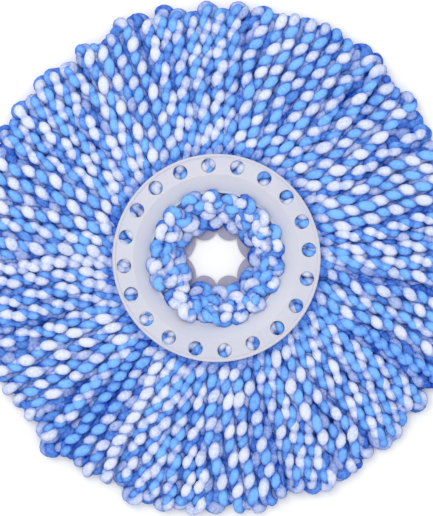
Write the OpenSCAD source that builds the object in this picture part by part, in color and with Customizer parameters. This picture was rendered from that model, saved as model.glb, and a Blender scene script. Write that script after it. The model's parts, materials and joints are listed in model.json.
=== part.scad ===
// Spin mop refill head: a clamp ring and a base plate with a thick fringe of twisted microfibre
// yarn gripped between them. It lies flat with the ring on top, as it does on a floor.
// Millimetres, +Z up. The origin is the centre of the underside, on the head's axis.

/* [Head] */
// Number of yarn tufts, and of the posts between them and the drain holes over them
tuft_count = 20; // [14:2:24]
// Angle of the first tuft from +X, in degrees
first_angle = 5; // [0:1:17]
// Radius to the tips of the tufts
tip_r = 196; // [150:1:240]
// Height of the rim's flat top above the underside
rim_z = 22; // [20:0.5:28]

/* [Clamp ring] */
// Outer radius of the ring
ring_r = 80; // [77:1:100]
// Width of the flat rim, measured inwards from the outer edge
rim_w = 16; // [15:0.5:18]
// Thickness of the moulded wall
ring_wall = 2; // [1.6:0.1:2.4]
// Radius of the opening that the mop's disc snaps into
bore_r = 50; // [42:0.5:51]
// Thickness of the collar round that opening
collar_wall = 2; // [1.6:0.1:2.4]
// Drop of the dished zone, from the rim down to the collar
dish_drop = 4; // [3:0.25:4.5]
// Height of the collar
collar_h = 5; // [4:0.25:6]
// Radius of the rounded edge at the collar's mouth
mouth_round = 0.6; // [0.3:0.1:0.8]
// Radius of the bead round the outer edge
bead_r = 1.4; // [1.2:0.1:1.8]
// Height of the bead above the rim's flat top
bead_rise = 0.8; // [0.4:0.1:1]
// Radius of the drain holes
drain_r = 5.5; // [4:0.25:6]
// Distance from the outer edge in to the drain holes' centres
drain_inset = 8.75; // [8:0.25:9.5]
// Width of the chamfer round each drain hole
drain_chamfer = 0.4; // [0.2:0.1:0.8]

/* [Base plate] */
// Radius of the plate
plate_r = 62; // [61:0.5:70]
// Thickness of the plate
plate_t = 2.5; // [2:0.1:3]
// Radius to the points between the tongues
cusp_r = 22.7; // [22:0.1:26]
// Radius to the tips of the tongues beside the Y axis
reach_y = 15.5; // [13:0.1:17]
// Radius to the tips of the tongues beside the X axis
reach_x = 18.8; // [16:0.1:19.5]
// Radius of the posts that hold the ring
post_r = 2.5; // [2:0.1:2.8]
// Distance from the ring's opening out to the posts' centres
post_inset = 7; // [6.6:0.1:7.4]
// Clearance round a post in its socket
post_clearance = 0.1; // [0.05:0.05:0.2]
// Wall of the bosses round the sockets
boss_wall = 1.6; // [1.2:0.1:1.8]
// Plastic left over the end of a socket
socket_cover = 1.3; // [1:0.1:1.6]

/* [Yarn] */
// Radius to the inner ends of the loops round the centre hole
loop_r = 23; // [22:0.5:28]
// Gap between two pieces of yarn, and between yarn and plastic beside it
yarn_gap = 0.3; // [0.2:0.05:0.5]
// Thickness of a tuft at its tip
tip_t = 12; // [8:0.5:16]
// Gap between the ring's edge and the roots of the moving tufts
root_gap = 1; // [0.5:0.1:2]
// Half the gap between neighbouring tufts when they all hang
hang_gap = 0.5; // [0.3:0.1:1]
// Angle that the tufts hang down to, in degrees
hang_angle = 70; // [40:1:72]

/* [Hidden] */
$fn = 96;
pitch = 360 / tuft_count;
past = 1;          // how far a cut runs past the face that it leaves
tongue_count = 8;  // four tongues beside the Y axis and four beside the X axis
relief_r = 0.5;    // round end of the slit between two tongues
edge_chamfer = 0.5;

// clamp ring
rim_inner_r = ring_r - rim_w;
collar_r = bore_r + collar_wall;
dish_z = rim_z - dish_drop;
collar_z = dish_z - collar_h;
drain_circle_r = ring_r - drain_inset;

// posts, and the bosses that they stand in
post_circle_r = bore_r + post_inset;
socket_r = post_r + post_clearance;
boss_r = socket_r + boss_wall;
dish_slope = dish_drop / (rim_inner_r - collar_r);
socket_z = dish_z + (post_circle_r - socket_r - collar_r) * dish_slope - socket_cover;
post_z = socket_z - yarn_gap;

// moving tufts: each turns about a level axis across its root
root_r = rim_z / 2;
hinge_r = ring_r + root_gap + root_r;
tip_round = tip_t / 2;
half_pitch = pitch / 2;
root_half_w = (hinge_r - root_r) * tan(half_pitch) - hang_gap;
hung_tip_r = hinge_r + (tip_r - hinge_r) * cos(hang_angle) - root_r * sin(hang_angle);
tip_half_w = hung_tip_r * tan(half_pitch) - hang_gap;

function numbered(word, i) = str(word, i < 10 ? "_0" : "_", i);
function tuft_angle(i) = first_angle + (i - 1) * pitch;
// height of the dished zone's top at a radius
function dish_top(r) = dish_z + (r - collar_r) * dish_slope;
// radius of the tongue whose tip is at the radius reach, and whose two sides run out to the cusps
function tongue_r(reach) = let (c = cusp_r * cos(180 / tongue_count))
    (reach * reach + cusp_r * cusp_r - 2 * reach * c) / (2 * (c - reach));

// children() at every post, halfway between two tufts
module at_posts() {
    for (i = [1:tuft_count])
        rotate(tuft_angle(i) + half_pitch)
            translate([post_circle_r, 0, 0]) children();
}

// children() at every drain hole, over the middle of each tuft
module at_drains() {
    for (i = [1:tuft_count])
        rotate(tuft_angle(i))
            translate([drain_circle_r, 0, 0]) children();
}

// Right half of the clamp ring's cross-section: collar, dished zone, flat rim and bead
module ring_profile() {
    difference() {
        translate([bore_r, collar_z]) square([collar_wall, collar_h]);
        translate([bore_r - past, dish_z - mouth_round])
            square([mouth_round + past, mouth_round + past]);
    }
    translate([bore_r + mouth_round, dish_z - mouth_round]) circle(r = mouth_round);
    polygon([
        [collar_r - ring_wall / 4, dish_z - ring_wall],
        [collar_r - ring_wall / 4, dish_z],
        [collar_r, dish_z],
        [rim_inner_r, rim_z],
        [rim_inner_r, rim_z - ring_wall],
        [collar_r, dish_z - ring_wall]
    ]);
    translate([rim_inner_r, rim_z - ring_wall]) square([rim_w - bead_r, ring_wall]);
    translate([ring_r - bead_r, rim_z + bead_rise - bead_r]) circle(r = bead_r);
}

// Bosses under the dished zone, cut off halfway through its wall
module ring_bosses() {
    intersection() {
        at_posts() translate([0, 0, collar_z]) cylinder(r = boss_r, h = rim_z - collar_z);
        rotate_extrude() polygon([
            [0, 0],
            [rim_inner_r, 0],
            [rim_inner_r, rim_z - ring_wall / 2],
            [collar_r, dish_z - ring_wall / 2],
            [0, dish_z - ring_wall / 2]
        ]);
    }
}

module clamp_ring() {
    color([0.86, 0.86, 0.89]) difference() {
        union() {
            rotate_extrude() ring_profile();
            ring_bosses();
        }
        at_posts() translate([0, 0, collar_z - past])
            cylinder(r = socket_r, h = socket_z - collar_z + past);
        at_drains() translate([0, 0, rim_z - ring_wall - past])
            cylinder(r = drain_r, h = ring_wall + 2 * past);
        at_drains() translate([0, 0, rim_z - drain_chamfer])
            cylinder(r1 = drain_r, r2 = drain_r + drain_chamfer + past, h = drain_chamfer + past);
    }
}

// Outline of the centre hole: a star of tongues that flex round a centre peg
module centre_hole() {
    tongue_pitch = 360 / tongue_count;
    difference() {
        circle(r = cusp_r);
        for (i = [0:tongue_count - 1]) {
            angle = (i + 0.5) * tongue_pitch;
            reach = abs(sin(angle)) > abs(cos(angle)) ? reach_y : reach_x;
            rotate(angle) translate([reach + tongue_r(reach), 0]) circle(r = tongue_r(reach));
        }
    }
    for (i = [0:tongue_count - 1])
        rotate(i * tongue_pitch) translate([cusp_r - relief_r, 0]) circle(r = relief_r);
}

module base_plate() {
    color([0.80, 0.80, 0.86]) {
        difference() {
            rotate_extrude() polygon([
                [0, 0],
                [plate_r - edge_chamfer, 0],
                [plate_r, edge_chamfer],
                [plate_r, plate_t - edge_chamfer],
                [plate_r - edge_chamfer, plate_t],
                [0, plate_t]
            ]);
            translate([0, 0, -past]) linear_extrude(plate_t + 2 * past) centre_hole();
        }
        at_posts() {
            cylinder(r = post_r, h = post_z - edge_chamfer);
            translate([0, 0, post_z - edge_chamfer])
                cylinder(r1 = post_r, r2 = post_r - edge_chamfer, h = edge_chamfer);
        }
    }
}

// The band of yarn that the ring presses onto the plate, with the posts standing through it
module clamped_yarn() {
    under_rim_z = rim_z - ring_wall;
    past_boss_r = post_circle_r + boss_r + yarn_gap;
    color([0.55, 0.70, 0.95]) difference() {
        rotate_extrude() polygon([
            [collar_r + yarn_gap, plate_t],
            [plate_r + yarn_gap, plate_t],
            [plate_r + yarn_gap, 0],
            [ring_r, 0],
            [ring_r, under_rim_z],
            [rim_inner_r + yarn_gap, under_rim_z],
            [past_boss_r, dish_top(past_boss_r) - ring_wall - yarn_gap],
            [past_boss_r, collar_z - yarn_gap],
            [collar_r + yarn_gap, collar_z - yarn_gap]
        ]);
        at_posts() cylinder(r = socket_r, h = rim_z);
    }
}

// A moving tuft: round at the root, where it bends, and thinner and wider towards its tip
module tuft(i) {
    color([0.45, 0.65, 0.97]) rotate(tuft_angle(i)) intersection() {
        rotate([90, 0, 0]) linear_extrude(2 * tip_r, center = true) {
            translate([hinge_r, root_r]) circle(r = root_r);
            polygon([
                [hinge_r, 0],
                [tip_r - tip_round, 0],
                [tip_r - tip_round, tip_t],
                [hinge_r, rim_z]
            ]);
            translate([tip_r - tip_round, tip_round]) circle(r = tip_round);
        }
        translate([0, 0, -past]) linear_extrude(rim_z + 2 * past) polygon([
            [hinge_r - root_r, -root_half_w],
            [tip_r, -tip_half_w],
            [tip_r, tip_half_w],
            [hinge_r - root_r, root_half_w]
        ]);
    }
}

// The inner loops of one tuft: they lie on the plate, round the centre hole
module inner_loops(i) {
    loop_t = collar_z - yarn_gap - plate_t;
    side = half_pitch - asin(yarn_gap / (2 * loop_r));
    color([0.70, 0.80, 0.97]) rotate(tuft_angle(i)) intersection() {
        rotate_extrude() translate([loop_r, plate_t]) {
            translate([loop_t / 2, loop_t / 2]) circle(r = loop_t / 2);
            translate([loop_t / 2, 0]) square([collar_r - loop_r - loop_t / 2, loop_t]);
        }
        linear_extrude(rim_z) polygon([
            [0, 0],
            [2 * bore_r * cos(side), -2 * bore_r * sin(side)],
            [2 * bore_r * cos(side), 2 * bore_r * sin(side)]
        ]);
    }
}

clamp_ring();
base_plate();
clamped_yarn();
for (i = [1:tuft_count]) {
    tuft(i);
    inner_loops(i);
}
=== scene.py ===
"""Yarn, plastic and a studio for a spin mop head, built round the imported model.

The file is laid out as an add-on: sizes and colours are properties, each group of pieces has an operator,
and a panel in the 3D view's sidebar lists them. Run as a script, it builds everything in order.
Lengths are in metres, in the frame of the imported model.
"""
import json
import math

import bpy
import numpy as np
from bpy.props import FloatProperty, FloatVectorProperty, IntProperty, PointerProperty
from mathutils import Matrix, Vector


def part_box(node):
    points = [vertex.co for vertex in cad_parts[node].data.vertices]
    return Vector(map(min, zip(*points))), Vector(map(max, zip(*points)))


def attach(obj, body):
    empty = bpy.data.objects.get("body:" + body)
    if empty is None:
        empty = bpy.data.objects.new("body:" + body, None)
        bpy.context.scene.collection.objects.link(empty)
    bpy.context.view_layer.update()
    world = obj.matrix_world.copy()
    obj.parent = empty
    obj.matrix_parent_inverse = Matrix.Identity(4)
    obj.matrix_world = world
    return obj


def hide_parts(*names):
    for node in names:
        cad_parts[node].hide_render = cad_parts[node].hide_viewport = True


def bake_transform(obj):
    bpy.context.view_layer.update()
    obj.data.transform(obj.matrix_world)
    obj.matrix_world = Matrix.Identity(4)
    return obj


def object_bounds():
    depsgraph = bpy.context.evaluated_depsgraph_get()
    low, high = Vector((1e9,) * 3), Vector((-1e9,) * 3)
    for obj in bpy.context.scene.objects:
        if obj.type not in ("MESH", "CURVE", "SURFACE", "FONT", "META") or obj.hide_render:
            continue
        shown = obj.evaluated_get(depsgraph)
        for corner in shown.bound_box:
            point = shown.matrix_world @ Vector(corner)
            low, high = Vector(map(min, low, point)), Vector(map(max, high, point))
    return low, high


bl_info = {
    "name": "Spin mop head",
    "version": (1, 0, 0),
    "blender": (4, 5, 0),
    "location": "3D View > Sidebar > Mop",
    "description": "Builds twisted microfibre yarn, moulded plastic and a studio for a spin mop head",
    "category": "Object",
}

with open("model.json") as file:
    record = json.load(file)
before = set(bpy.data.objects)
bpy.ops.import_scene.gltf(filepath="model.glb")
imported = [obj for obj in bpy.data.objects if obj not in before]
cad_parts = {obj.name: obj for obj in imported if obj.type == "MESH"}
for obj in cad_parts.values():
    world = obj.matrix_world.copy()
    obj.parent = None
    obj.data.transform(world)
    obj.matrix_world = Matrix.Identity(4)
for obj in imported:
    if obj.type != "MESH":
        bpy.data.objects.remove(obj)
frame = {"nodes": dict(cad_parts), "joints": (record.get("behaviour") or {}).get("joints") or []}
CAD_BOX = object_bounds()
MM = 0.001
UP = np.array([0.0, 0.0, 1.0])

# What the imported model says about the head.
ring_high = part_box("clamp_ring")[1]
RING_R = ring_high.x
RING_TOP = ring_high.z
PLATE_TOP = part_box("inner_loops_01")[0].z
TIP_R = CAD_BOX[1].x
TUFT_JOINTS = [j for j in frame["joints"] if j["child"].startswith("tuft_")]
TUFTS = len(TUFT_JOINTS)
TUFT_ANGLES = [math.atan2(j["pos_m"][1], j["pos_m"][0]) for j in TUFT_JOINTS]
HINGE_R = math.hypot(*TUFT_JOINTS[0]["pos_m"][:2])
PITCH = 2 * math.pi / TUFTS

# The ring's own form, for the yarn that it presses on. The dished zone falls from the rim to the collar.
COLLAR_R = 52.0 * MM
RIM_UNDER = RING_TOP - 2.8 * MM
DISH_OUT_R = 64.0 * MM
DISH_IN_R = 54.0 * MM
DISH_DROP = 4.0 * MM
DRAIN_CIRCLE_R = 71.25 * MM
DRAIN_R = 5.5 * MM
DRAIN_BULGE = 1.6 * MM


# ---------------------------------------------------------------------------------------------
# Properties
# ---------------------------------------------------------------------------------------------

def length(name, description, default):
    return FloatProperty(name=name, description=description, default=default, min=0.0, unit="LENGTH",
                         precision=4)


def share(name, description, default):
    return FloatProperty(name=name, description=description, default=default, min=0.0, max=1.0,
                         subtype="FACTOR")


def colour(name, description, default):
    return FloatVectorProperty(name=name, description=description, default=default, size=3, min=0.0,
                               max=1.0, subtype="COLOR")


class MopYarn(bpy.types.PropertyGroup):
    """The two-ply yarn that the whole fringe is made of."""
    loops_per_tuft: IntProperty(name="Loops in a tuft", description="Looped lengths of yarn in each tuft",
                                default=5, min=2, max=8)
    ply_radius: length("Ply radius", "Radius of a soft ply where it puffs out", 3.9 * MM)
    pinch: share("Pinch", "A ply's radius between two puffs, as a share of its full radius", 0.58)
    ply_offset: length("Ply offset", "How far the twist carries a ply from its own middle line", 1.7 * MM)
    ply_slack: length("Ply slack", "How far the plies' middle lines lie from the strand's middle", 0.7 * MM)
    twist_pitch: length("Twist pitch", "Length of one full turn of the twist", 22.0 * MM)
    packing: length("Packing distance", "Distance between the middles of strands side by side", 11.2 * MM)
    stacking: length("Stacking distance", "Distance between the middles of strands on each other", 6.6 * MM)
    white_share: share("All white", "Share of the loops with two white plies", 0.04)
    blue_share: share("All blue", "Share of the loops with two blue plies", 0.04)
    # Blue yarn's lit colour and painted shade colour: the painted shade colour goes where the yarn is painted
    # in shade, between and under strands
    blue_lit: colour("Blue, raised", "Colour of the blue pile where it stands proud", (0.165, 0.385, 0.790))
    blue_painted_shade: colour("Blue, sunk", "Colour of the blue pile between tufts of fibre", (0.000, 0.030, 0.350))
    # White yarn's lit colour and painted shade colour: the painted shade colour goes where the yarn is
    # painted in shade, between and under strands
    white_lit: colour("White, raised", "Colour of the white pile where it stands proud",
                        (0.565, 0.600, 0.710))
    white_painted_shade: colour("White, sunk", "Colour of the white pile between tufts of fibre",
                       (0.003, 0.100, 0.470))
    seed: IntProperty(name="Seed", description="Changes how the strands happen to lie", default=11, min=0)


class MopPlastic(bpy.types.PropertyGroup):
    """The milky plastic of the ring and the plate."""
    # The ring's thin colour is a painted bluish tint of the yarn seen through the plastic.
    ring_clear: colour("Ring, thin", "Colour of the ring where it is thin and lets the yarn tint it",
                       (0.340, 0.370, 0.500))
    ring_milky: colour("Ring, thick", "Colour of the ring where it is thick and milky", (0.420, 0.425, 0.490))
    plate_clear: colour("Plate, thin", "Colour of the plate's thin edges", (0.200, 0.200, 0.300))
    plate_milky: colour("Plate, thick", "Colour of the plate's body", (0.280, 0.272, 0.370))


class MopStudio(bpy.types.PropertyGroup):
    """The floor, the lights and the camera."""
    floor_colour: colour("Floor", "Colour of the plain floor", (0.740, 0.740, 0.745))
    well_colour: colour("Well", "Colour of the well in the floor", (0.930, 0.930, 0.935))
    sky_strength: FloatProperty(name="Sky", description="Strength of the even light from all round",
                                default=1.30, min=0.0)
    softbox_power: FloatProperty(name="Softbox", description="Power of the big soft lamp overhead",
                                 default=9.0, min=0.0, unit="POWER")
    camera_height: length("Camera height", "Height of the camera over the ring", 1.6)
    framed_height: length("Framed height", "Height of the picture at the ring's level", 0.3958)


# ---------------------------------------------------------------------------------------------
# Shared mesh and curve helpers
# ---------------------------------------------------------------------------------------------

def smooth_step(t):
    t = np.clip(t, 0.0, 1.0)
    return t * t * (3.0 - 2.0 * t)


def unit(vectors):
    return vectors / np.linalg.norm(vectors, axis=-1, keepdims=True)


def spread_evenly(points, step):
    """The same line with its points a step apart, rounded off at its corners. Columns after Z ride along."""
    for _ in range(2):
        points[1:-1] = (points[:-2] + 2.0 * points[1:-1] + points[2:]) / 4.0
    along = np.r_[0.0, np.cumsum(np.linalg.norm(np.diff(points[:, :3], axis=0), axis=1))]
    places = np.linspace(0.0, along[-1], max(8, round(along[-1] / step)))
    return np.stack([np.interp(places, along, column) for column in points.T], axis=1)


def soft_noise(count, step, wave, rng):
    """Smooth random values of about -1 to 1 along a line, which change over the length wave."""
    knots = max(4, int(count * step / wave) + 4)
    values = rng.uniform(-1.0, 1.0, knots)
    where = np.linspace(0.0, knots - 1.001, count)
    low = where.astype(int)
    return values[low] + (values[low + 1] - values[low]) * smooth_step(where - low)


def across(line):
    """Two directions square to the line at each of its points, level and upward at its start."""
    along = unit(np.gradient(line, axis=0))
    sides = [unit(np.cross(along[0], UP))]
    for direction in along[1:]:
        side = sides[-1] - direction * sides[-1].dot(direction)
        sides.append(side / math.sqrt(side.dot(side)))
    side = np.array(sides)
    return side, np.cross(side, along)


def ring_underside(points):
    """How high yarn may reach at each point: the ring's underside, and a little way into its drain holes."""
    radius = np.hypot(points[:, 0], points[:, 1])
    turned = np.arctan2(points[:, 1], points[:, 0]) - TUFT_ANGLES[0]
    beside_hole = np.abs((turned + PITCH / 2) % PITCH - PITCH / 2) * radius
    from_hole = np.hypot(beside_hole, radius - DRAIN_CIRCLE_R)
    limit = RIM_UNDER - DISH_DROP * smooth_step((DISH_OUT_R - radius) / (DISH_OUT_R - DISH_IN_R))
    limit = limit + DRAIN_BULGE * smooth_step((DRAIN_R - from_hole) / (0.5 * DRAIN_R))
    free = (radius > RING_R) | (radius < COLLAR_R)
    return np.where(free, np.inf, limit)


class Bundle:
    """Collects tubes of yarn and turns them into one mesh object."""

    def __init__(self):
        self.points, self.faces, self.paints, self.dyes, self.painted_lights = [], [], [], [], []
        self.count = 0

    def add_tube(self, line, radii, widen, paint, dye, painted_light):
        """A closed tube along a line, with rounded ends, and widened sideways where it is pressed flat.

        The painted light function says how lit each point is painted, from painted shade at 0 to painted
        light at 1.
        """
        sides = radii.shape[1]
        side, rise = across(line)
        turn = np.arange(sides) * 2.0 * math.pi / sides
        ring = ((side * widen[:, None])[:, None] * np.cos(turn)[None, :, None]
                + rise[:, None] * np.sin(turn)[None, :, None])
        body = line[:, None] + ring * radii[:, :, None]
        ends = np.stack([line[0] * 1.5 - line[1] * 0.5, line[-1] * 1.5 - line[-2] * 0.5])
        # how lit each point is painted: painted light and shade, not a height
        raised = painted_light(body)
        self.painted_lights += [raised.ravel(), raised[[0, -1], 0]]
        rings, first = len(line), self.count
        grid = first + np.arange(rings * sides).reshape(rings, sides)
        after = np.roll(grid, -1, axis=1)
        quads = np.stack([grid[:-1], after[:-1], after[1:], grid[1:]], axis=-1).reshape(-1, 4)
        start, end = first + rings * sides, first + rings * sides + 1
        caps = [[start, b, a] for a, b in zip(grid[0], after[0])]
        caps += [[end, a, b] for a, b in zip(grid[-1], after[-1])]
        self.points += [body.reshape(-1, 3), ends]
        self.faces += quads.tolist() + caps
        self.paints += [paint] * (len(quads) + len(caps))
        self.dyes += [np.repeat(dye, sides), dye[[0, -1]]]
        self.count += rings * sides + 2

    def build(self, name, materials, floor, lid=None):
        """The finished object, pressed flat where it meets the floor below it, or the lid above it if any."""
        points = np.concatenate(self.points)
        points[:, 2] = np.maximum(points[:, 2], floor)
        if lid:
            points[:, 2] = np.minimum(points[:, 2], lid(points))
        mesh = bpy.data.meshes.new(name)
        mesh.from_pydata(points.tolist(), [], self.faces)
        for material in materials:
            mesh.materials.append(material)
        mesh.polygons.foreach_set("material_index", self.paints)
        mesh.polygons.foreach_set("use_smooth", [True] * len(self.faces))
        for attribute, values in (("dye", self.dyes), ("painted_light", self.painted_lights)):
            mesh.attributes.new(attribute, "FLOAT", "POINT").data.foreach_set("value", np.concatenate(values))
        mesh.update()
        made = bpy.data.objects.new(name, mesh)
        bpy.context.scene.collection.objects.link(made)
        return made


# ---------------------------------------------------------------------------------------------
# Shader helpers and effects that several materials share
# ---------------------------------------------------------------------------------------------

def new_group(name, inputs, outputs):
    """An empty node group with named sockets: {name: kind}, or {name: (kind, default)} for a number."""
    group = bpy.data.node_groups.new(name, "ShaderNodeTree")
    for label, kind in inputs.items():
        kind, default = kind if isinstance(kind, tuple) else (kind, None)
        socket = group.interface.new_socket(name=label, in_out="INPUT", socket_type="NodeSocket" + kind)
        if default is not None:
            socket.default_value = default
    for label, kind in outputs.items():
        group.interface.new_socket(name=label, in_out="OUTPUT", socket_type="NodeSocket" + kind)
    return group, group.nodes.new("NodeGroupInput"), group.nodes.new("NodeGroupOutput")


def add_node(tree, kind, links=(), **settings):
    """A node with its properties set, and its inputs linked or set by name."""
    node = tree.nodes.new("ShaderNode" + kind)
    for key, value in settings.items():
        setattr(node, key, value)
    for key, value in dict(links).items():
        if isinstance(value, bpy.types.NodeSocket):
            tree.links.new(value, node.inputs[key])
        else:
            node.inputs[key].default_value = value
    return node


def ramp(tree, value, low, high):
    """The value stretched so that low becomes 0 and high becomes 1."""
    return add_node(tree, "MapRange", {"Value": value, "From Min": low, "From Max": high}).outputs["Result"]


def mix_colours(tree, factor, first, second, blend="MIX"):
    node = add_node(tree, "Mix", data_type="RGBA", blend_type=blend)
    for index, value in ((0, factor), (6, first), (7, second)):
        if isinstance(value, bpy.types.NodeSocket):
            tree.links.new(value, node.inputs[index])
        else:
            node.inputs[index].default_value = value
    return node.outputs[2]


def pile_group():
    """Microfibre pile: soft clumps of fibre over the dye's own slow change in depth, with painted light and
    shade.

    The yarn's colour goes from its painted shade colour to its lit colour with the clumps, the dye and the
    painted light, which is 1 where a point is painted lit and 0 where it is painted in shade.
    """
    clump_share, dye_share, fibre_share = 1.1, 0.20, 0.35
    all_shaded, all_lit = 0.45, 1.62
    group, given, result = new_group(
        "Microfibre pile and painted shade",
        {"Raised": "Color", "Sunk": "Color", "Dye": "Float", "Proud": "Float",
         "Clump scale": ("Float", 420.0), "Fibre scale": ("Float", 2600.0)},
        {"Color": "Color", "Height": "Float"})
    place = add_node(group, "TexCoord").outputs["Object"]
    clumps = add_node(group, "TexNoise", {"Vector": place, "Scale": given.outputs["Clump scale"],
                                          "Detail": 3.0, "Roughness": 0.6}).outputs["Fac"]
    fibres = add_node(group, "TexNoise", {"Vector": place, "Scale": given.outputs["Fibre scale"],
                                          "Detail": 2.0, "Distortion": 0.6}).outputs["Fac"]
    height = add_node(group, "Math", {0: fibres, 1: fibre_share, 2: clumps},
                      operation="MULTIPLY_ADD").outputs[0]
    # the dye's own tone plus the painted light and shade
    dyed_and_lit = add_node(group, "Math", {0: given.outputs["Dye"], 1: dye_share, 2: given.outputs["Proud"]},
                    operation="MULTIPLY_ADD").outputs[0]
    clumped_dyed_and_lit = add_node(group, "Math", {0: clumps, 1: clump_share, 2: dyed_and_lit},
                      operation="MULTIPLY_ADD").outputs[0]
    tone = ramp(group, clumped_dyed_and_lit, all_shaded, all_lit)
    painted = mix_colours(group, tone, given.outputs["Sunk"], given.outputs["Raised"])
    group.links.new(painted, result.inputs["Color"])
    group.links.new(height, result.inputs["Height"])
    return group


def milky_group():
    """Milky moulded plastic: clouds of thicker and thinner colour, and the mould's fine grain."""
    milk_inside, milk_outside, cloud_share = 0.35, 0.85, 1.5
    smoothest, roughest = 0.30, 0.48
    group, given, result = new_group(
        "Milky plastic",
        {"Thin": "Color", "Thick": "Color", "Cloud scale": ("Float", 28.0),
         "Grain scale": ("Float", 900.0), "Inner radius": ("Float", 0.05), "Outer radius": ("Float", 0.06)},
        {"Color": "Color", "Roughness": "Float", "Height": "Float"})
    place = add_node(group, "TexCoord").outputs["Object"]
    clouds = add_node(group, "TexNoise", {"Vector": place, "Scale": given.outputs["Cloud scale"],
                                          "Detail": 4.0, "Roughness": 0.55}).outputs["Fac"]
    apart = add_node(group, "SeparateXYZ", {0: place})
    level = add_node(group, "CombineXYZ", {"X": apart.outputs["X"], "Y": apart.outputs["Y"]}).outputs[0]
    radius = add_node(group, "VectorMath", {0: level}, operation="LENGTH").outputs["Value"]
    thick = add_node(group, "MapRange", {"Value": radius, "From Min": given.outputs["Inner radius"],
                                         "From Max": given.outputs["Outer radius"], "To Min": milk_inside,
                                         "To Max": milk_outside},
                     interpolation_type="SMOOTHSTEP").outputs["Result"]
    cloudy = add_node(group, "Math", {0: clouds, 1: cloud_share, 2: -cloud_share / 2},
                      operation="MULTIPLY_ADD").outputs[0]
    milk = add_node(group, "Math", {0: thick, 1: cloudy}, operation="ADD", use_clamp=True).outputs[0]
    painted = mix_colours(group, milk, given.outputs["Thin"], given.outputs["Thick"])
    grain = add_node(group, "TexNoise", {"Vector": place, "Scale": given.outputs["Grain scale"],
                                         "Detail": 2.0}).outputs["Fac"]
    rough = add_node(group, "MapRange", {"Value": clouds, "To Min": smoothest,
                                         "To Max": roughest}).outputs["Result"]
    group.links.new(painted, result.inputs["Color"])
    group.links.new(rough, result.inputs["Roughness"])
    group.links.new(grain, result.inputs["Height"])
    return group


def shared_group(name, make):
    return bpy.data.node_groups.get(name) or make()


def new_material(name):
    material = bpy.data.materials.new(name)
    material.use_nodes = True
    return material, material.node_tree, material.node_tree.nodes["Principled BSDF"]


def place_group(tree, group, **values):
    """A node group in a material, with each named input set or linked. An underscore stands for a space."""
    node = tree.nodes.new("ShaderNodeGroup")
    node.node_tree = group
    for key, value in values.items():
        socket = node.inputs[key.replace("_", " ")]
        if isinstance(value, bpy.types.NodeSocket):
            tree.links.new(value, socket)
        else:
            socket.default_value = value
    return node


def opaque(rgb):
    return (*rgb, 1.0)


def yarn_material(name, raised, shaded, sheen_tint):
    """Matt plush yarn with a soft sheen; raised is its lit colour and shaded its painted shade colour, mixed
    by the painted light that the pieces carry.
    """
    material, tree, shader = new_material(name)
    dye = add_node(tree, "Attribute", attribute_name="dye").outputs["Fac"]
    # painted light and shade carried by the yarn pieces: 1 painted lit, 0 painted in shade
    painted_light = add_node(tree, "Attribute", attribute_name="painted_light").outputs["Fac"]
    pile = place_group(tree, shared_group("Microfibre pile and painted shade", pile_group), Raised=opaque(raised),
                       Sunk=opaque(shaded), Dye=dye, Proud=painted_light)
    bump = add_node(tree, "Bump", {"Height": pile.outputs["Height"], "Strength": 0.7, "Distance": 0.8 * MM})
    tree.links.new(pile.outputs["Color"], shader.inputs["Base Color"])
    tree.links.new(bump.outputs["Normal"], shader.inputs["Normal"])
    shader.inputs["Roughness"].default_value = 0.92
    shader.inputs["Specular IOR Level"].default_value = 0.08
    shader.inputs["Sheen Weight"].default_value = 0.07
    shader.inputs["Sheen Roughness"].default_value = 0.5
    shader.inputs["Sheen Tint"].default_value = opaque(sheen_tint)
    return material


def milky_material(name, thin, thick, inner, outer):
    """Moulded polypropylene: milky, with a soft shine."""
    material, tree, shader = new_material(name)
    milk = place_group(tree, shared_group("Milky plastic", milky_group), Thin=opaque(thin),
                       Thick=opaque(thick), Inner_radius=inner, Outer_radius=outer)
    bump = add_node(tree, "Bump", {"Height": milk.outputs["Height"], "Strength": 0.08, "Distance": 0.3 * MM})
    tree.links.new(milk.outputs["Color"], shader.inputs["Base Color"])
    tree.links.new(milk.outputs["Roughness"], shader.inputs["Roughness"])
    tree.links.new(bump.outputs["Normal"], shader.inputs["Normal"])
    shader.inputs["IOR"].default_value = 1.49
    shader.inputs["Subsurface Weight"].default_value = 0.25
    shader.inputs["Subsurface Scale"].default_value = 4 * MM
    return material


def yarn_materials(yarn):
    """White first and blue second, made once."""
    white = bpy.data.materials.get("White microfibre") or yarn_material(
        "White microfibre", yarn.white_lit, yarn.white_painted_shade, (0.95, 0.95, 1.0))
    blue = bpy.data.materials.get("Blue microfibre") or yarn_material(
        "Blue microfibre", yarn.blue_lit, yarn.blue_painted_shade, (0.55, 0.75, 1.0))
    return white, blue


# ---------------------------------------------------------------------------------------------
# Yarn
# ---------------------------------------------------------------------------------------------

WHITE, BLUE = 0, 1
TUBE_SIDES = 12
TUBE_STEP = 1.4 * MM
FLOOR_CLEARANCE = 0.2 * MM

# How unevenly the yarn is spun: how much each thing changes, and the length of yarn that a change takes.
PITCH_SPREAD = 0.08
TWIST_DRIFT, TWIST_WAVE = 0.6, 30 * MM
SLACK_DRIFT, SLACK_WAVE = 1.2, 60 * MM
OFFSET_SPREAD, OFFSET_WAVE = 0.18, 20 * MM
PUFF_SPREAD, PUFF_WAVE = 0.09, 14 * MM
DYE_WAVE = 25 * MM
PLY_SIZES = (0.95, 1.06)
PUFF_CURVE = 0.7
END_TAPER = 0.6
LUMPS = 0.018
WHITE_PLUMPNESS, BLUE_PLUMPNESS = 1.08, 0.97
PRESSED_WIDER = 0.45
# Share of painted shade that a fully buried strand gets.
BURIED_SHADE = 0.95

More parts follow.
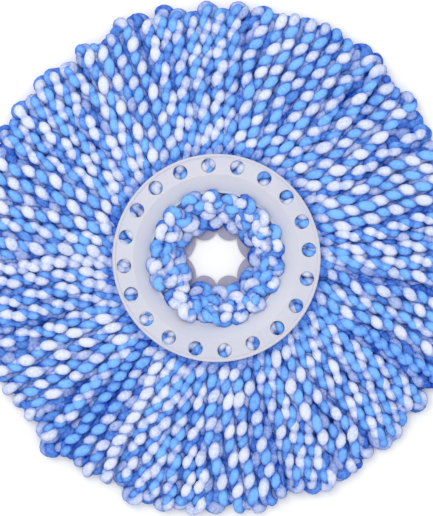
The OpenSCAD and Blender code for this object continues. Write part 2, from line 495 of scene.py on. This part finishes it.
# How the strands settle: rounds of pushing at the first radius and at each later one, the share of an
# overlap that a round undoes, how far a strand sinks in a round, and how hard its home pulls it back.
LAYERS = 3
FIRST_ROUNDS, LATER_ROUNDS = 200, 12
PUSH, SINK, HOMING = 0.28, 0.25 * MM, 0.06
MOST_PUSH = 1 * MM
# Beside the ring the strands are squeezed to this share of their packing, which they regain over this length.
SQUEEZE, SQUEEZE_LENGTH = 0.84, 50 * MM
# A strand wanders to and fro, leans by an angle of its own, and leans with its neighbours in a slow swirl.
WANDER, WANDER_WAVES = 2.8 * MM, (50 * MM, 120 * MM)
LEAN, SWIRL, SWIRL_FOLDS = 0.022, 0.018, (3, 5, 8)


def pick_plies(yarn, rng):
    """The two plies' colours for one length of yarn."""
    draw = rng.random()
    if draw < yarn.white_share:
        return WHITE, WHITE
    if draw < yarn.white_share + yarn.blue_share:
        return BLUE, BLUE
    return (WHITE, BLUE) if rng.random() < 0.5 else (BLUE, WHITE)


def twist_yarn(bundle, route, yarn, plies, rng):
    """Adds two soft plies twisted round a route, whose fourth column says how deep it is buried and so how
    much it is painted in shade.
    """
    line, buried = route[:, :3], route[:, 3]
    count = len(line)
    side, rise = across(line)

    def drift(wave):
        return soft_noise(count, TUBE_STEP, wave, rng)

    turns = np.arange(count) * TUBE_STEP / yarn.twist_pitch * (1.0 + rng.uniform(-PITCH_SPREAD, PITCH_SPREAD))
    phase = 2.0 * math.pi * (turns + rng.random()) + TWIST_DRIFT * drift(TWIST_WAVE)
    slack_angle = rng.uniform(0.0, 2.0 * math.pi) + SLACK_DRIFT * drift(SLACK_WAVE)
    reach = yarn.ply_offset + yarn.ply_slack + yarn.ply_radius
    # yarn that lies on the floor is pressed wider
    widen = 1.0 + PRESSED_WIDER * smooth_step((1.15 * reach - line[:, 2]) / (0.5 * reach))
    for k, paint in enumerate(plies):
        angle = phase + k * math.pi
        over, beside = np.cos(angle), np.sin(angle)
        offset = yarn.ply_offset * (1.0 + OFFSET_SPREAD * drift(OFFSET_WAVE))
        apart = yarn.ply_slack * (1 - 2 * k)
        up = offset * over + apart * np.sin(slack_angle)
        aside = offset * beside + apart * np.cos(slack_angle)
        centre = line + up[:, None] * rise + (aside * widen)[:, None] * side
        # a ply puffs out where it lies on top of the other or beneath it, and is pinched where they pass
        puffed = np.abs(over) ** PUFF_CURVE
        puff = yarn.pinch + (1.0 - yarn.pinch) * puffed
        puff = puff * (1.0 + PUFF_SPREAD * drift(PUFF_WAVE)) * rng.uniform(*PLY_SIZES)
        puff = puff * (WHITE_PLUMPNESS if paint == WHITE else BLUE_PLUMPNESS)
        lumps = rng.normal(0.0, LUMPS, (count, TUBE_SIDES))
        radii = yarn.ply_radius * (puff[:, None] + lumps)
        radii[[0, -1]] *= END_TAPER
        dye = 0.5 * rng.uniform(-1.0, 1.0) + 0.5 * drift(DYE_WAVE)
        # painted light and shade: a ply is painted lighter where it is plump and in shade at its pinches,
        # painted lit from above unless it is buried, where it is painted in shade, and painted lit from below
        # where it lies low
        puff_light = 0.60 + 0.40 * smooth_step((puffed - 0.15) / 0.65)
        painted_light_above = (puff_light * (1.0 - BURIED_SHADE * buried))[:, None]
        painted_light_below = (puff_light * smooth_step(2.0 - line[:, 2] / reach))[:, None]

        def painted_light(points):
            out = np.linalg.norm(points - line[:, None], axis=-1) / reach
            above = (points[:, :, 2] - line[:, 2:]) / reach
            return smooth_step((out - 0.15) / 0.75) * (smooth_step((0.15 + above) / 0.9) * painted_light_above
                                                       + smooth_step((0.15 - above) / 0.9) * painted_light_below)

        bundle.add_tube(centre, radii, widen, paint, dye, painted_light)


def settle_strands(yarn, count, radii, ceiling, rng):
    """Where the strands lie at each radius, packed like soft ovals on the floor: angles, heights, how buried.

    The strands start heaped at the first radius and sink into the gaps as they fan out.
    """
    home = TUFT_ANGLES[0] - PITCH / 2 + (np.arange(count) + 0.5) * 2 * math.pi / count
    floor = 0.5 * yarn.stacking + 1.6 * MM
    flatness = yarn.packing / yarn.stacking
    angle = home + rng.uniform(-0.3, 0.3, count) * 2 * math.pi / count
    height = floor + (np.arange(count) * 2 % LAYERS) * 0.86 * yarn.stacking + rng.uniform(0, 1 * MM, count)
    wander_phase = rng.uniform(0, 2 * math.pi, count)
    wander_wave = rng.uniform(*WANDER_WAVES, count)
    swirl_phase = rng.uniform(0, 2 * math.pi, len(SWIRL_FOLDS))
    swirl = sum(SWIRL * np.sin(n * home + swirl_phase[i]) for i, n in enumerate(SWIRL_FOLDS))
    lean = swirl + rng.uniform(-LEAN, LEAN, count)
    angles, heights, depths = [], [], []
    for k, radius in enumerate(radii):
        regained = smooth_step((radius - radii[0]) / SQUEEZE_LENGTH)
        packing = yarn.packing * (SQUEEZE + (1.0 - SQUEEZE) * regained)
        wander = WANDER / radius * np.sin(wander_phase + radius * 2 * math.pi / wander_wave)
        wanted = home + wander + lean * k / len(radii)
        for _ in range(FIRST_ROUNDS if k == 0 else LATER_ROUNDS):
            gap = angle[:, None] - angle[None, :]
            gap = (gap + math.pi) % (2 * math.pi) - math.pi
            sideways, upward = gap * radius, height[:, None] - height[None, :]
            apart = np.hypot(sideways, upward * flatness) + 1e-9
            push = np.where(apart < packing, (packing - apart) / apart * PUSH, 0.0)
            np.fill_diagonal(push, 0.0)
            moved = np.clip((push * sideways).sum(1), -MOST_PUSH, MOST_PUSH)
            raised = np.clip((push * upward).sum(1), -MOST_PUSH, MOST_PUSH)
            angle = angle + moved / radius + HOMING * (wanted - angle)
            height = np.clip(height + raised - SINK, floor, ceiling[k])
        # a strand is buried as deep as the highest strand near it stands over it; the deeper it is buried,
        # the more it is painted in shade
        near = np.abs(sideways) < 0.75 * yarn.packing
        top = np.where(near, height[None, :], 0.0).max(axis=1)
        angles.append(angle)
        heights.append(height)
        depths.append(np.clip((top - height) / yarn.stacking - 0.15, 0.0, 1.0))
    return np.array(angles), np.array(heights), np.array(depths)


def jitter(route, amounts, wave, rng):
    """Moves a route's points by soft random amounts along X, Y and Z."""
    for column, amount in enumerate(amounts):
        route[:, column] += amount * soft_noise(len(route), TUBE_STEP, wave, rng)


def polar(radius, angle, *others):
    """Points from radii and angles, with their heights and any further columns."""
    return np.stack([radius * np.cos(angle), radius * np.sin(angle), *others], axis=-1)


# The turn at a loop's tip: its points, its narrowest width, and how far it rises or sinks out of level.
TURN_POINTS = 9
TURN_WIDTH = 9.2 * MM
TURN_SWAY = 1.5 * MM


def turn_back(first, second, reach, rng):
    """Points of the round turn at a loop's tip, from one strand's end over to the other's."""
    across_ends = (second - first)[:3]
    width = np.linalg.norm(across_ends)
    out = unit((first + second)[:3] * np.array([1.0, 1.0, 0.0]))
    half = across_ends / 2.0 * max(1.0, TURN_WIDTH / max(width, 1e-6))
    middle = (first + second)[:3] / 2.0 + out * reach
    steps = np.linspace(0.0, math.pi, TURN_POINTS)[:, None]
    bulge = middle - np.cos(steps) * half + np.sin(steps) * out * np.linalg.norm(half)
    bulge = bulge + UP * rng.uniform(-1.0, 1.0) * TURN_SWAY * np.sin(steps)
    return np.column_stack([bulge, np.linspace(first[3], second[3], len(bulge))])


# The radii at which gripped yarn's place is set, and the heights between which the ring squeezes it.
# Under the dished zone there is less room.
GRIP_R = np.r_[58:78:4, 78:88:2] * MM
GRIP_LOW, GRIP_HIGH = 5.0 * MM, 16.0 * MM
UNDER_DISH_HIGH = 10.8 * MM
# The ring grips the yarn up to its edge, so the free heap starts a little outside it.
FREE_GAP = 8 * MM
RADIUS_STEP = 4 * MM
# The highest strand's middle is this far below the ring's top, falls by this at the tips, and crowns between.
TOP_GAP, TOP_FALL, TOP_CROWN = 6.4 * MM, 2.5 * MM, 3.0 * MM
# The yarn is painted in deep shadow within this distance of where it comes out from under the ring: a painted
# shadow of the ring's edge.
RING_SHADOW_GAP = 6 * MM
# Tufts differ in reach, and so do the loops in a tuft. A turn needs room for its own thickness.
TUFT_REACH = (-4.0 * MM, 1.0 * MM)
LOOP_SHORTER = 10.0 * MM
TURN_ROOM = 2.0 * MM
FRINGE_JITTER, FRINGE_WAVE = (0.8 * MM, 0.8 * MM, 0.4 * MM), 28 * MM


class MOP_OT_tufts(bpy.types.Operator):
    """Build the outer fringe: every tuft's looped yarn, from under the ring out to its tips"""
    bl_idname = "mop.tufts"
    bl_label = "Tufts"

    def lay_strands(self, yarn, count, rng):
        """Radii, and at each of them every strand's angle, height and how deep it is buried."""
        free_r = RING_R + FREE_GAP
        radii = np.arange(free_r, TIP_R, RADIUS_STEP)
        outward = (radii - radii[0]) / (radii[-1] - radii[0])
        ceiling = RING_TOP - TOP_GAP - TOP_FALL * outward + TOP_CROWN * np.sin(math.pi * outward)
        angles, heights, depths = settle_strands(yarn, count, radii, ceiling, rng)
        share_up = (heights[0] - heights[0].min()) / (heights[0].max() - heights[0].min())
        gripped = GRIP_LOW + (GRIP_HIGH - GRIP_LOW) * share_up
        freed = smooth_step((GRIP_R - (RING_R - 2 * MM)) / (free_r - RING_R + 2 * MM))[:, None]
        grip_heights = gripped + (heights[0] - gripped) * freed
        under_dish = GRIP_R[:, None] < DISH_OUT_R
        grip_heights = np.where(under_dish, np.minimum(grip_heights, UNDER_DISH_HIGH), grip_heights)
        # painted shadow of the ring's edge, added to the buried depth that sets painted shade
        ring_edge_shadow = smooth_step(1.0 - np.abs(GRIP_R - RING_R - 1 * MM) / RING_SHADOW_GAP)[:, None]
        return (np.r_[GRIP_R, radii],
                np.concatenate([np.repeat(angles[:1], len(GRIP_R), axis=0), angles]),
                np.concatenate([grip_heights, heights]),
                np.concatenate([np.maximum(depths[:1], ring_edge_shadow), depths]))

    def execute(self, context):
        yarn = context.scene.mop_yarn
        rng = np.random.default_rng(yarn.seed)
        strands_per_tuft = 2 * yarn.loops_per_tuft
        radii, angles, heights, depths = self.lay_strands(yarn, TUFTS * strands_per_tuft, rng)
        materials = yarn_materials(yarn)
        for tuft, joint in enumerate(TUFT_JOINTS):
            bundle = Bundle()
            # strands that end up side by side near the tips are the two legs of one loop
            own = np.arange(tuft * strands_per_tuft, (tuft + 1) * strands_per_tuft)
            own = own[np.argsort(angles[-3, own])]
            tuft_reach = TIP_R + rng.uniform(*TUFT_REACH)
            for pair in own.reshape(-1, 2):
                tip = tuft_reach - rng.uniform(0.0, LOOP_SHORTER) - TURN_ROOM
                kept = radii < tip
                legs = [polar(radii[kept], angles[kept, s], heights[kept, s], depths[kept, s]) for s in pair]
                reach = max(0.0, tip - radii[kept][-1])
                bend = turn_back(legs[0][-1], legs[1][-1], reach, rng)
                route = spread_evenly(np.concatenate([legs[0], bend, legs[1][::-1]]), TUBE_STEP)
                jitter(route, FRINGE_JITTER, FRINGE_WAVE, rng)
                twist_yarn(bundle, route, yarn, pick_plies(yarn, rng), rng)
            piece = bundle.build(f"yarn_tuft_{tuft + 1:02d}", materials, FLOOR_CLEARANCE, ring_underside)
            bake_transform(piece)
            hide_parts(joint["child"], "clamped_yarn")
        return {"FINISHED"}


# Inside the collar: where the loops turn up beside it, and the height at which their legs lie on the plate.
INSIDE_R = 44.0 * MM
LEG_R = np.array([57.0, 52.0, 48.0, 45.0]) * MM
LEG_Z = PLATE_TOP + 5.0 * MM + np.array([0.0, 0.0, 0.2, 1.2]) * MM
LOOP_DROOP = (-1.6, 0.6)
LOOP_JITTER, LOOP_WAVE = (0.8 * MM, 0.8 * MM, 0.5 * MM), 20 * MM


class MOP_OT_inner_loops(bpy.types.Operator):
    """Build the short loops that crowd round the centre hole, over the base plate"""
    bl_idname = "mop.inner_loops"
    bl_label = "Inner loops"

    # each row: how many loops, radius and height of their turns, half the gap between the legs, how buried,
    # which sets their painted shade
    rows = ((12, 29.5 * MM, 7.5 * MM, 4.4 * MM, 0.35),
            (15, 35.0 * MM, 11.5 * MM, 4.2 * MM, 0.1),
            (19, 41.0 * MM, 15.0 * MM, 4.2 * MM, 0.0),
            (20, 45.8 * MM, 18.6 * MM, 4.0 * MM, 0.0))

    def loop_route(self, angle, turn_r, height, half_gap, buried, rng):
        """One loop's route: in from under the ring, up inside the collar, round at its turn, and back."""
        steps = smooth_step(np.linspace(0.0, 1.0, 6))[1:]
        legs_r = np.r_[LEG_R, INSIDE_R + (turn_r - INSIDE_R) * steps ** 1.5]
        legs_z = np.r_[LEG_Z, LEG_Z[-1] + (height - LEG_Z[-1]) * steps]
        along = np.array([math.cos(angle), math.sin(angle), 0.0])
        beside = np.array([-along[1], along[0], 0.0])
        legs = [legs_r[:, None] * along + sign * half_gap * beside + legs_z[:, None] * UP
                for sign in (-1.0, 1.0)]
        # the turn faces the hole, or the collar where the loop spills over its lip
        out = math.copysign(1.0, turn_r - INSIDE_R)
        turn = np.linspace(0.0, math.pi, TURN_POINTS)[1:-1, None]
        droop = rng.uniform(*LOOP_DROOP) * MM
        end = (turn_r * along - np.cos(turn) * half_gap * beside
               + np.sin(turn) * 0.6 * half_gap * out * along + (height + droop * np.sin(turn)) * UP)
        route = np.concatenate([legs[0], end, legs[1][::-1]])
        return np.column_stack([route, np.full(len(route), buried)])

    def execute(self, context):
        yarn = context.scene.mop_yarn
        rng = np.random.default_rng(yarn.seed + 1)
        bundles = [Bundle() for _ in range(TUFTS)]
        for count, turn_r, height, half_gap, buried in self.rows:
            start = rng.uniform(0, 2 * math.pi)
            for k in range(count):
                angle = start + (k + rng.uniform(-0.22, 0.22)) * 2 * math.pi / count
                route = self.loop_route(angle, turn_r + rng.uniform(-1.5, 2.0) * MM,
                                        height + rng.uniform(-1.0, 1.2) * MM,
                                        half_gap * rng.uniform(0.85, 1.15), buried, rng)
                route = spread_evenly(route, TUBE_STEP)
                jitter(route, LOOP_JITTER, LOOP_WAVE, rng)
                tuft = round((angle - TUFT_ANGLES[0]) / PITCH) % TUFTS
                twist_yarn(bundles[tuft], route, yarn, pick_plies(yarn, rng), rng)
        materials = yarn_materials(yarn)
        for tuft, bundle in enumerate(bundles):
            piece = bundle.build(f"yarn_inner_loops_{tuft + 1:02d}", materials, PLATE_TOP + FLOOR_CLEARANCE)
            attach(piece, "root")
            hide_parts(f"inner_loops_{tuft + 1:02d}")
        return {"FINISHED"}


# ---------------------------------------------------------------------------------------------
# Plastic pieces
# ---------------------------------------------------------------------------------------------

class MOP_OT_clamp_ring(bpy.types.Operator):
    """Give the clamp ring its milky plastic"""
    bl_idname = "mop.clamp_ring"
    bl_label = "Clamp ring"

    def execute(self, context):
        plastic = context.scene.mop_plastic
        ring = frame["nodes"]["clamp_ring"]
        # the ring's thin inner part is painted with the tint of yarn seen through it
        ring.material_slots[0].material = milky_material(
            "Milky ring plastic", plastic.ring_clear, plastic.ring_milky, 50 * MM, 62 * MM)
        return {"FINISHED"}


class MOP_OT_base_plate(bpy.types.Operator):
    """Give the base plate and its tongues their thinner, greyer plastic"""
    bl_idname = "mop.base_plate"
    bl_label = "Base plate"

    def execute(self, context):
        plastic = context.scene.mop_plastic
        plate = frame["nodes"]["base_plate"]
        plate.material_slots[0].material = milky_material(
            "Milky plate plastic", plastic.plate_clear, plastic.plate_milky, 15 * MM, 24 * MM)
        return {"FINISHED"}


# ---------------------------------------------------------------------------------------------
# Studio
# ---------------------------------------------------------------------------------------------

FLOOR_R = 6.0
FLOOR_SIDES = 192
# The well in the floor: the room round the hanging tufts, and how much wider it is at its mouth.
WELL_GAP = 8 * MM
WELL_FLARE = 16 * MM
SOFTBOX_PLACE = (-0.35, 0.45, 1.5)
SOFTBOX_SIZE = 0.9


def floor_material(name, colour_of_board):
    """Plain pale board with a barely visible tooth."""
    material, tree, shader = new_material(name)
    place = add_node(tree, "TexCoord").outputs["Object"]
    tooth = add_node(tree, "TexNoise", {"Vector": place, "Scale": 300.0, "Detail": 2.0}).outputs["Fac"]
    bump = add_node(tree, "Bump", {"Height": tooth, "Strength": 0.02, "Distance": 0.0005})
    tree.links.new(bump.outputs["Normal"], shader.inputs["Normal"])
    shader.inputs["Base Color"].default_value = opaque(colour_of_board)
    shader.inputs["Roughness"].default_value = 0.9
    return material


def lay_floor(floor_colour, well_colour):
    """A wide floor, with a round well under the head that hanging tufts go down into, round a pillar."""
    hang = math.radians(max(j["range_deg"][1] for j in TUFT_JOINTS))
    pillar_r = RING_R - WELL_GAP
    well_r = HINGE_R + (TIP_R - HINGE_R) * math.cos(hang) + WELL_FLARE + WELL_GAP
    depth = (TIP_R - HINGE_R) * math.sin(hang) + WELL_GAP
    outline = ((1 * MM, 0.0), (pillar_r, 0.0), (pillar_r, -depth), (well_r, -depth),
               (well_r + WELL_FLARE, 0.0), (FLOOR_R, 0.0))
    turn = np.arange(FLOOR_SIDES) * 2.0 * math.pi / FLOOR_SIDES
    points = np.concatenate([polar(radius, turn, np.full(FLOOR_SIDES, height)) for radius, height in outline])
    grid = np.arange(len(points)).reshape(len(outline), FLOOR_SIDES)
    after = np.roll(grid, -1, axis=1)
    quads = np.stack([grid[:-1], grid[1:], after[1:], after[:-1]], axis=-1).reshape(-1, 4)
    mesh = bpy.data.meshes.new("studio_floor")
    mesh.from_pydata(points.tolist(), [], [*quads.tolist(), grid[0].tolist()])
    mesh.materials.append(floor_material("Studio floor", floor_colour))
    mesh.materials.append(floor_material("Studio well", well_colour))
    in_well = np.repeat([0, 1, 1, 1, 0], FLOOR_SIDES).tolist()
    mesh.polygons.foreach_set("material_index", [*in_well, 0])
    floor = bpy.data.objects.new("studio_floor", mesh)
    bpy.context.scene.collection.objects.link(floor)


def hang_lamp(name, place, size, power):
    """A square soft lamp that faces the middle of the floor."""
    lamp = bpy.data.lights.new(name, "AREA")
    lamp.shape = "SQUARE"
    lamp.size = size
    lamp.energy = power
    hung = bpy.data.objects.new(name, lamp)
    bpy.context.scene.collection.objects.link(hung)
    hung.location = place
    hung.rotation_euler = (-Vector(place)).to_track_quat("-Z", "Y").to_euler()


class MOP_OT_studio(bpy.types.Operator):
    """Set up the floor, the soft lights and a camera that looks straight down"""
    bl_idname = "mop.studio"
    bl_label = "Studio"

    def execute(self, context):
        studio = context.scene.mop_studio
        lay_floor(studio.floor_colour, studio.well_colour)
        world = bpy.data.worlds.new("Studio sky")
        world.use_nodes = True
        sky = world.node_tree.nodes["Background"]
        sky.inputs["Color"].default_value = (1.0, 1.0, 1.0, 1.0)
        sky.inputs["Strength"].default_value = studio.sky_strength
        context.scene.world = world
        hang_lamp("softbox", SOFTBOX_PLACE, SOFTBOX_SIZE, studio.softbox_power)
        lens = bpy.data.cameras.new("camera")
        lens.sensor_fit = "VERTICAL"
        lens.sensor_height = 24.0
        lens.lens = lens.sensor_height * studio.camera_height / studio.framed_height
        lens.clip_end = 20.0
        camera = bpy.data.objects.new("camera", lens)
        camera.location = (0.0, 0.0, RING_TOP + studio.camera_height)
        context.scene.collection.objects.link(camera)
        context.scene.camera = camera
        context.scene.view_settings.view_transform = "Standard"
        return {"FINISHED"}


# ---------------------------------------------------------------------------------------------
# Panel and registration
# ---------------------------------------------------------------------------------------------

class VIEW3D_PT_mop(bpy.types.Panel):
    """Lists the mop head's pieces, and their sizes and colours"""
    bl_idname = "VIEW3D_PT_mop"
    bl_label = "Spin mop head"
    bl_space_type = "VIEW_3D"
    bl_region_type = "UI"
    bl_category = "Mop"

    def draw(self, context):
        for operator in OPERATORS:
            self.layout.operator(operator.bl_idname)
        for settings in (context.scene.mop_yarn, context.scene.mop_plastic, context.scene.mop_studio):
            box = self.layout.box()
            for key in settings.__annotations__:
                box.prop(settings, key)


OPERATORS = (MOP_OT_studio, MOP_OT_clamp_ring, MOP_OT_base_plate, MOP_OT_tufts, MOP_OT_inner_loops)
CLASSES = (MopYarn, MopPlastic, MopStudio, *OPERATORS, VIEW3D_PT_mop)


def register():
    for cls in CLASSES:
        bpy.utils.register_class(cls)
    bpy.types.Scene.mop_yarn = PointerProperty(type=MopYarn)
    bpy.types.Scene.mop_plastic = PointerProperty(type=MopPlastic)
    bpy.types.Scene.mop_studio = PointerProperty(type=MopStudio)


def unregister():
    del bpy.types.Scene.mop_yarn
    del bpy.types.Scene.mop_plastic
    del bpy.types.Scene.mop_studio
    for cls in reversed(CLASSES):
        bpy.utils.unregister_class(cls)


def main():
    register()
    bpy.ops.mop.studio()
    bpy.ops.mop.clamp_ring()
    bpy.ops.mop.base_plate()
    bpy.ops.mop.tufts()
    bpy.ops.mop.inner_loops()


if __name__ == "__main__":
    main()
